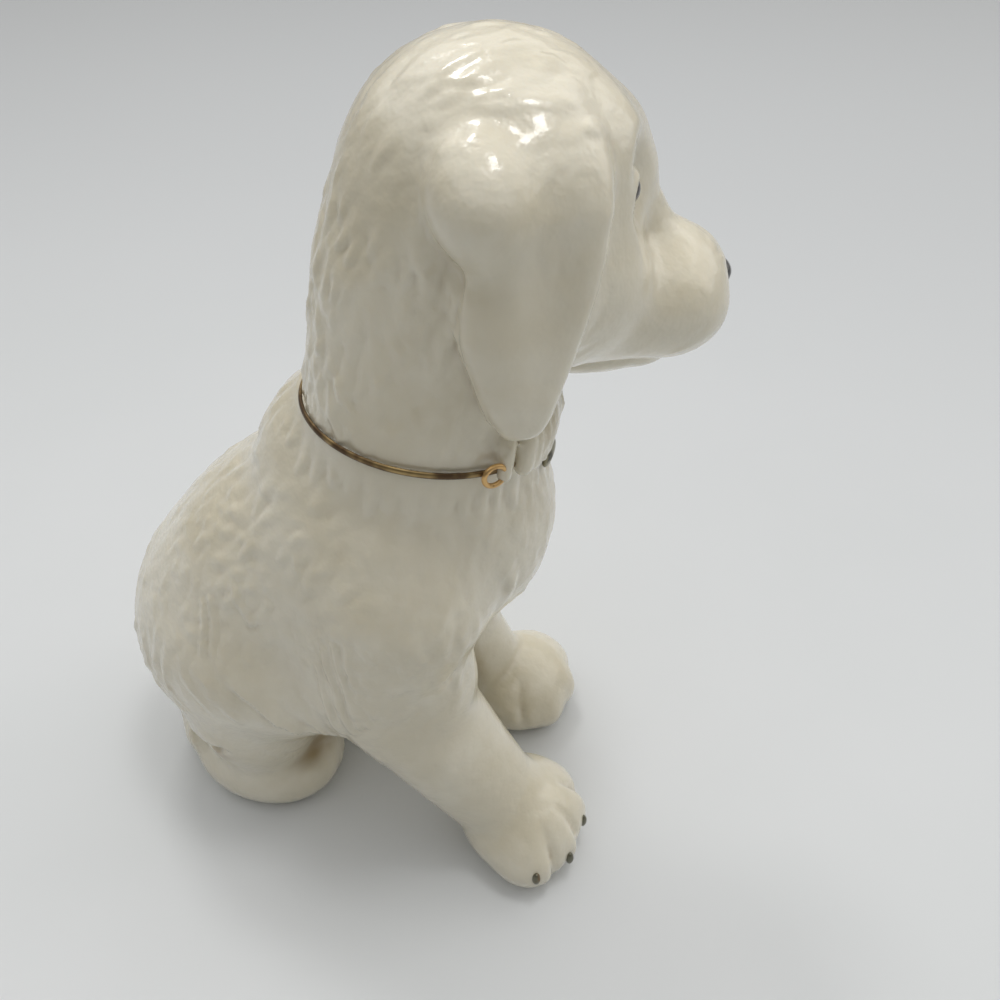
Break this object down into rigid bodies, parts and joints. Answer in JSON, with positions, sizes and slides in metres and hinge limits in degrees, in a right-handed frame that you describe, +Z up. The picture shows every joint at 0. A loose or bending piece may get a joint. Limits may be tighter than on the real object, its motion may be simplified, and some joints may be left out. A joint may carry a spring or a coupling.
{
  "type": "sitting puppy figurine",
  "caption": "Glazed ivory porcelain figurine of a sitting puppy, head turned to its left, with a thin gilt collar, ring, tag and claws.",
  "frame": {"origin": "middle of the figurine's footprint box, on the floor plane", "axes": "+Z up; the puppy's chest faces -Y and its right side is at -X; the head is turned about 25 degrees towards +X"},
  "size_m": [0.0632, 0.1072, 0.147],
  "materials": {
    "ivory_glaze": "gloss ivory glaze over modelled fur",
    "warm_glaze": "gloss ivory glaze, thicker and warmer",
    "gilt": "fired-on gilding, slightly worn",
    "worn_gilt": "worn gilding on the claws",
    "silvered_nose": "dark silvered lustre",
    "dark_glaze": "gloss black-brown glaze"
  },
  "bodies": {
    "root": {"torso": "ivory_glaze", "right_foreleg": "ivory_glaze", "left_foreleg": "ivory_glaze", "right_hind_foot": "warm_glaze", "left_hind_foot": "warm_glaze", "tail": "ivory_glaze", "head": "ivory_glaze", "right_ear": "ivory_glaze", "left_ear": "ivory_glaze", "nose": "silvered_nose", "right_eye": "dark_glaze", "left_eye": "dark_glaze", "collar": "gilt", "collar_ring": "gilt", "tag": "gilt", "right_fore_claw_1": "worn_gilt", "right_fore_claw_2": "worn_gilt", "right_fore_claw_3": "worn_gilt", "right_fore_claw_4": "worn_gilt", "left_fore_claw_1": "worn_gilt", "left_fore_claw_2": "worn_gilt", "left_fore_claw_3": "worn_gilt", "left_fore_claw_4": "worn_gilt", "right_hind_claw_1": "worn_gilt", "right_hind_claw_2": "worn_gilt", "right_hind_claw_3": "worn_gilt", "right_hind_claw_4": "worn_gilt", "left_hind_claw_1": "worn_gilt", "left_hind_claw_2": "worn_gilt", "left_hind_claw_3": "worn_gilt", "left_hind_claw_4": "worn_gilt"}
  },
  "joints": []
}
